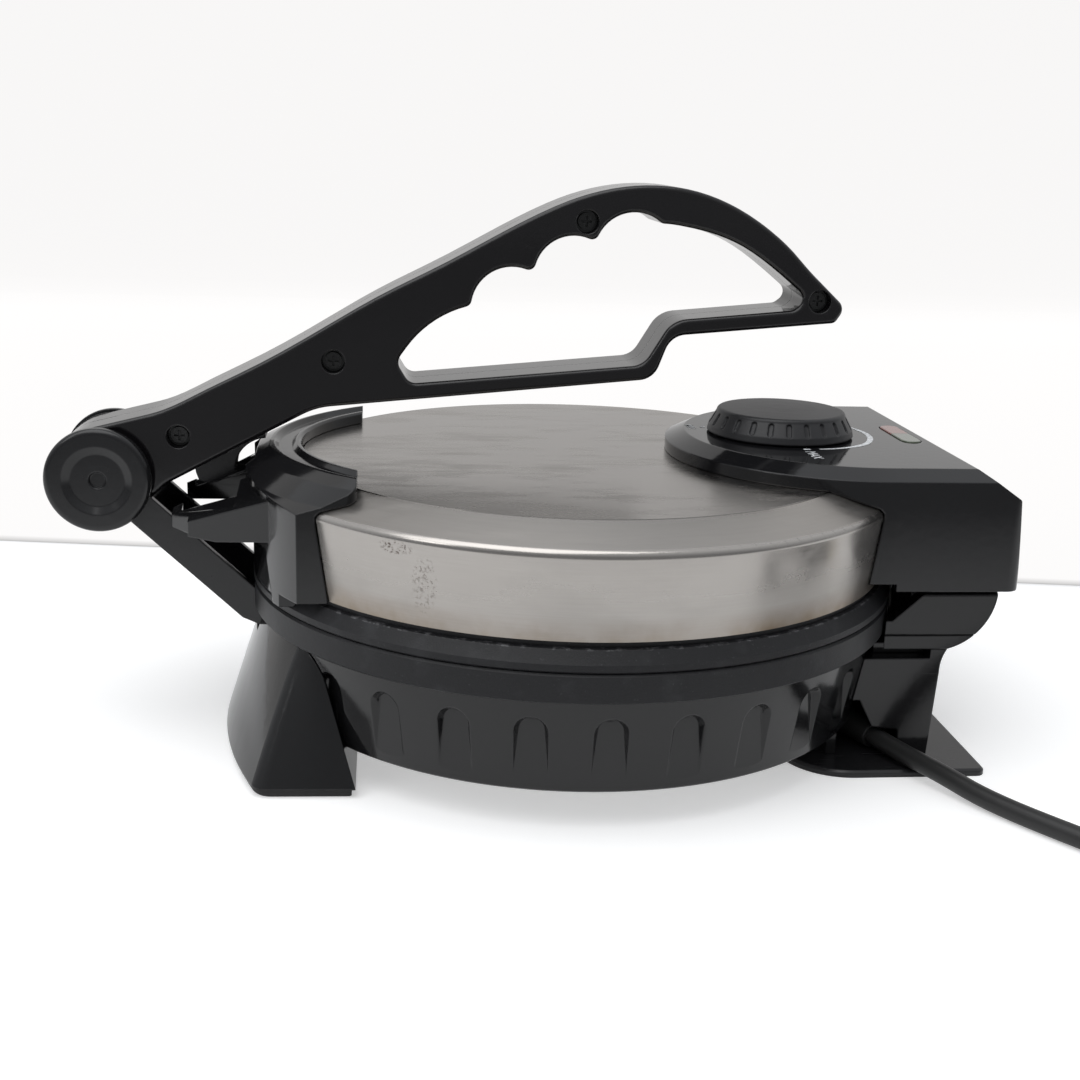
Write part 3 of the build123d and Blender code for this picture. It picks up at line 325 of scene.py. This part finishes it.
# ------------------------------------------- front yoke, housing, lever, arm
# Mouldings in the same black as the shell, each from its own mould. The
# housing is the glossiest, and the arm and the claw are the dullest.
yoke_black = moulded_black("yoke_black", (0.005, 0.005, 0.0055), gloss=0.08)
dress(yoke_black, "front_yoke")
housing_black = moulded_black("housing_black", (0.006, 0.006, 0.0068), gloss=0.045)
dress(housing_black, "control_housing")
lever_black = moulded_black("lever_black", (0.005, 0.0045, 0.0052), gloss=0.06)
dress(lever_black, "lever_shell_near", "lever_shell_far")
arm_black = moulded_black("arm_black", (0.008, 0.008, 0.0088), gloss=0.14)
dress(arm_black, "pivot_arm", "pivot_cap_near", "pivot_cap_far", "press_claw")

# ----------------------------------------------------------------- knob
# Satin black dial with moulded grip flutes. It is pushed on to a steel
# spindle that comes up through the housing from the thermostat.
knob_black = moulded_black("knob_black", (0.014, 0.014, 0.0155), gloss=0.4, peel=0.15)
dress(knob_black, "control_knob")

# ------------------------------------------------------------- dial print
# White print on the housing round the dial: a crescent that swells and thins,
# a dash and the word MAX at one end, a dot and the word MIN at the other. It
# is worn in specks, and its places are metres from the dial's centre.
print_white = Surface("print_white", Roughness=0.45)
faded = print_white.ramp(print_white.noise(0.0015, 3), 0.3, 0.6)
print_white.set(Base_Color=print_white.mix(faded, (0.45, 0.46, 0.47, 1), (0.78, 0.8, 0.82, 1)))
knob_low, knob_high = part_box("control_knob")
dial = np.array([(knob_low[0] + knob_high[0]) / 2, (knob_low[1] + knob_high[1]) / 2])
print_lift = 0.00008
print_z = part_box("control_housing")[1][2] + print_lift


def printed(name, mesh):
    """Makes a mesh a piece of white print that rides on the lid."""
    mesh.materials.clear()
    mesh.materials.append(print_white.material)
    piece = bpy.data.objects.new(name, mesh)
    bpy.context.collection.objects.link(piece)
    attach(piece, "lid")


def outlined(name, outlines):
    """Prints closed outlines, one face each: their points, shifted to the dial's centre."""
    flat = np.vstack(outlines) + dial
    points = np.column_stack([flat, np.full(len(flat), print_z)])
    ends = np.cumsum([len(outline) for outline in outlines])
    mesh = bpy.data.meshes.new(name)
    mesh.from_pydata(points.tolist(), [], np.split(np.arange(len(flat)), ends[:-1]))
    printed(name, mesh)


def word(name, letters, place, tall, long):
    """Prints a word: its letters' points, centred and scaled to tall by long, are turned a
    quarter, so that it reads along -Y with its tops towards +X, and shifted to place."""
    font = bpy.data.curves.new(name, "FONT")
    font.body = letters
    font.align_x = "CENTER"
    font.align_y = "CENTER"
    font.offset = 0.012
    typed = bpy.data.objects.new(name, font)
    bpy.context.collection.objects.link(typed)
    bpy.context.view_layer.update()
    mesh = bpy.data.meshes.new_from_object(typed)
    bpy.data.objects.remove(typed)
    corners = np.empty(len(mesh.vertices) * 3)
    mesh.vertices.foreach_get("co", corners)
    corners = corners.reshape(-1, 3)[:, :2]
    low, high = corners.min(0), corners.max(0)
    flat = (corners - (low + high) / 2) * np.array([long, tall]) / (high - low)
    points = np.column_stack([dial[0] + place[0] + flat[:, 1], dial[1] + place[1] - flat[:, 0],
                              np.full(len(flat), print_z)])
    mesh.vertices.foreach_set("co", points.ravel())
    printed(name, mesh)


# The crescent's middle radius and half width, by degrees round the dial.
degrees = np.linspace(-76, 48, 63)
middle = np.interp(degrees, [-76, -34, 0, 48], [0.0341, 0.0381, 0.0387, 0.0385])
half = np.interp(degrees, [-76, -40, -10, 20, 48], [0.0006, 0.0012, 0.0012, 0.0008, 0.0003])
spokes = np.column_stack([np.cos(np.radians(degrees)), np.sin(np.radians(degrees))])
outer = spokes * (middle + half)[:, None]
inner = spokes * (middle - half)[:, None]
crescent = np.stack([inner[:-1], outer[:-1], outer[1:], inner[1:]], 1)
dash = np.array([(0.0014, -0.0345), (0.0042, -0.0345), (0.0042, -0.0327), (0.0014, -0.0327)])
dot_angles = np.linspace(0, 2 * np.pi, 16, endpoint=False)
dot_x, dot_y, dot_r = -0.0311, 0.0123, 0.0011
dot = np.column_stack([dot_x + dot_r * np.cos(dot_angles), dot_y + dot_r * np.sin(dot_angles)])
outlined("dial_crescent", [*crescent, dash, dot])
word("dial_max", "MAX", (0.0028, -0.0448), tall=0.0042, long=0.0135)
word("dial_min", "MIN", (-0.0362, 0.0125), tall=0.0036, long=0.0085)

# ---------------------------------------------------------------- lenses
# Two halves of one capsule let into the housing's top, over the lamps. They
# are dark tinted plastic, one red and one green.


def lens_plastic(name, deep, pale):
    """Glossy tinted plastic that goes from deep to pale in clouds of 4 mm."""
    lens = Surface(name, Coat_Weight=0.5, IOR=1.5)
    cloud = lens.noise(0.004, 2)
    return lens.set(Base_Color=lens.mix(cloud, deep, pale), Roughness=0.12 + cloud * 0.06)


dress(lens_plastic("lens_red", (0.17, 0.04, 0.03, 1), (0.24, 0.07, 0.05, 1)),
      "indicator_lens_red")
dress(lens_plastic("lens_green", (0.07, 0.085, 0.06, 1), (0.11, 0.13, 0.09, 1)),
      "indicator_lens_green")

# ------------------------------------------------------------------ cord
# Round mains lead, 8 mm, in soft black sheath. It leaves the tapered relief
# low on the near side, runs over the foot plate and along the worktop, and
# its spare length lies in a neat round coil with the plug beside it.
cord_black = moulded_black("cord_black", (0.014, 0.014, 0.014), gloss=0.38, peel=0.1)
dress(cord_black, "cord_strain_relief", "plug")
blade_brass = Surface("blade_brass", Metallic=1.0)
tarnish = blade_brass.noise(0.002, 3)
blade_brass.set(Base_Color=blade_brass.mix(tarnish, (0.55, 0.42, 0.22, 1), (0.75, 0.6, 0.34, 1)),
                Roughness=0.25 + tarnish * 0.15)
dress(blade_brass, "plug_blades")

# The lead's centre line down to the worktop and out of the camera's view,
# from the axis of the round body.
cord_r = 0.004
body_x = 0.0225
relief_start = Vector((body_x + 0.1125, -0.041, 0.011))
relief_end = Vector((body_x + 0.121, -0.059, 0.009))
relief_way = (relief_end - relief_start).normalized()
run = [
    relief_end - relief_way * 0.008,
    relief_end + relief_way * 0.014,
    (body_x + 0.138, -0.091, 0.0067),
    (body_x + 0.1495, -0.112, cord_r),
    (body_x + 0.1724, -0.1452, cord_r),
    (body_x + 0.1972, -0.1761, cord_r),
]

# The coil's points lie on a circle that steps in by a diameter after three
# quarters of a turn, and rises on to both turns after one and three quarters.
coil_low, coil_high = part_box("cord_coil")
coil_x, coil_y = (coil_low[0] + coil_high[0]) / 2, (coil_low[1] + coil_high[1]) / 2
coil_out = (coil_high[0] - coil_low[0]) / 2
rise = 0.005
steps_a_turn = 24
first_angle, last_angle = math.radians(238), math.radians(350 + 720)
step_count = round((last_angle - first_angle) / (2 * math.pi) * steps_a_turn)
turns = np.arange(step_count + 1) / steps_a_turn
angle = first_angle + 2 * np.pi * turns
inward = np.clip((turns - 0.75) / 0.5, 0, 1)
lifted = np.clip((turns - 1.75) / 0.3, 0, 1)
reach = coil_out - cord_r - 2 * cord_r * inward + cord_r * lifted
coil = np.column_stack([coil_x + reach * np.cos(angle), coil_y + reach * np.sin(angle),
                        cord_r + rise * lifted])

# The tail leaves the top turn along its tangent and goes into the plug.
plug_turn = math.radians(80)
plug_way = np.array([math.cos(plug_turn), math.sin(plug_turn), 0])
sideways = np.array([math.sin(plug_turn), -math.cos(plug_turn), 0])
top_turn_r = 0.044
leave = np.array([coil_x, coil_y, cord_r + rise]) + sideways * top_turn_r
route = np.vstack([run, coil, leave + plug_way * 0.02, leave + plug_way * 0.045])

lead = bpy.data.curves.new("mains_cord", "CURVE")
lead.dimensions = "3D"
lead.bevel_depth = cord_r
lead.bevel_resolution = 5
lead.resolution_u = 6
lead.use_fill_caps = True
spline = lead.splines.new("NURBS")
spline.points.add(len(route) - 1)
spline.points.foreach_set("co", np.column_stack([route, np.ones(len(route))]).ravel())
spline.order_u = 3
spline.use_endpoint_u = True
mains_cord = bpy.data.objects.new("mains_cord", lead)
bpy.context.collection.objects.link(mains_cord)
lead.materials.append(cord_black.material)
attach(mains_cord, "base")
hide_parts("cord", "cord_coil")

# ------------------------------------------------------- floor and light
# Pale worktop that sweeps up far behind, with a pale wall painted on it from
# a line on. A painted shadow runs along that crease, and painted shade darkens
# the wall's foot. The camera and reflections see it white, bar the near side
# in reflections, and it keeps the object's shadow.
sweep = np.linspace(0, 1, 40)
floor_y = np.interp(sweep, [0, 0.5, 0.7, 1], [-3.0, 1.6, 2.1, 2.4])
bend = np.clip((sweep - 0.5) / 0.3, 0, 1)
floor_z = np.where(sweep > 0.8, 1.2 + (sweep - 0.8) * 8, 1.2 * bend ** 2)
half_width = 4.0
corners = np.stack([np.tile([-half_width, half_width], (len(sweep), 1)),
                    np.repeat(floor_y[:, None], 2, 1), np.repeat(floor_z[:, None], 2, 1)], -1)
strips = np.arange(len(sweep) - 1)[:, None] * 2 + np.array([0, 1, 3, 2])
floor_mesh = bpy.data.meshes.new("worktop")
floor_mesh.from_pydata(corners.reshape(-1, 3).tolist(), [], strips.tolist())
floor_mesh.shade_smooth()
worktop = bpy.data.objects.new("worktop", floor_mesh)
bpy.context.collection.objects.link(worktop)

pale = Surface("worktop_pale", Roughness=0.5, Specular_IOR_Level=0.2, Emission_Strength=1.0)
wall_y, wall_skew = 0.229, 0.1496  # the wall's foot is the line Y = wall_y - X * wall_skew
beyond = pale.axis("Y") + pale.axis("X") * wall_skew - wall_y
wall = pale.ramp(beyond, 0.0, 0.002)
# Painted shadow along the crease where the wall begins, and painted shade fading up the wall's
# foot.
painted_crease_shadow = pale.ramp(beyond, 0.003, 0.0) * pale.ramp(beyond, -0.006, 0.0, 0.0, 0.55)
painted_crease_shadow = painted_crease_shadow + pale.ramp(beyond, 0.002, 0.014, 0.4, 0.0) * wall
near = pale.ramp(pale.axis("Y"), -0.3, -0.5)
camera_ray = pale.node("ShaderNodeLightPath", output="Is Camera Ray")
mirrored = (pale.node("ShaderNodeLightPath", output="Is Glossy Ray")
            + pale.node("ShaderNodeLightPath", output="Is Transmission Ray"))
seen = (camera_ray + mirrored * (1 - near) * 0.7) * (1 - painted_crease_shadow)
floor_and_wall = pale.mix(wall, (0.8, 0.8, 0.8, 1), (0.02, 0.02, 0.02, 1))
far_glow = pale.mix(wall, (0.4, 0.4, 0.4, 1), (0.915, 0.905, 0.9, 1))
glow = pale.mix(near, far_glow, (0.75, 0.75, 0.75, 1))
pale.set(Base_Color=pale.mix(near, floor_and_wall, (0.3, 0.3, 0.3, 1)),
         Emission_Color=pale.mix(seen, (0, 0, 0, 1), glow))
floor_mesh.materials.append(pale.material)

# The room lights the object with a soft white that is darker towards the
# near side and below. The camera sees it as one even white.
world = bpy.data.worlds.new("room")
bpy.context.scene.world = world
world.use_nodes = True
room = Tree(world)
toward = room.axis("Y", "Generated").maths("MULTIPLY_ADD", 0.55, room.axis("Z", "Generated"))
fade = room.ramp(toward, -0.25, 0.75, 0.34, 0.9)
direct = room.node("ShaderNodeLightPath", output="Is Camera Ray")
shown = room.node("ShaderNodeMix", {}, {0: direct, 2: fade, 3: 0.94})
background = room.nodes["Background"]
room.feed(background.inputs["Color"], (0.95, 0.97, 1.0, 1))
room.feed(background.inputs["Strength"], shown)


def soft_lamp(name, place, aim, size, power):
    """Square area lamp at place, turned to aim."""
    lamp = bpy.data.lights.new(name, "AREA")
    lamp.shape = "SQUARE"
    lamp.size = size
    lamp.energy = power
    holder = bpy.data.objects.new(name, lamp)
    holder.location = place
    holder.rotation_euler = (Vector(aim) - Vector(place)).to_track_quat("-Z", "Y").to_euler()
    bpy.context.collection.objects.link(holder)


soft_lamp("lamp_over", (-0.4, -0.4, 1.5), aim=(0, 0, 0.05), size=1.5, power=13)
soft_lamp("lamp_window", (-1.1, -0.7, 0.9), aim=(0, 0, 0.1), size=0.35, power=1.2)

# ---------------------------------------------------------------- camera
# A normal lens close in front of the near side and a little above the lid,
# looking down at it.
lens = bpy.data.cameras.new("camera")
lens.lens = 48.67
lens.sensor_width = 36.0
lens.clip_start = 0.01
camera = bpy.data.objects.new("camera", lens)
stand = Vector((-0.05777, -0.60382, 0.24314))
ahead = Vector((0.10584, 0.95850, -0.26472)).normalized()
right = Vector((0.99438, -0.10153, 0.02996)).normalized()
facing = Matrix((right, right.cross(ahead), -ahead)).transposed().to_4x4()
camera.matrix_world = Matrix.Translation(stand) @ facing
bpy.context.collection.objects.link(camera)
bpy.context.scene.camera = camera
bpy.context.scene.view_settings.view_transform = "Standard"

bpy.context.view_layer.update()
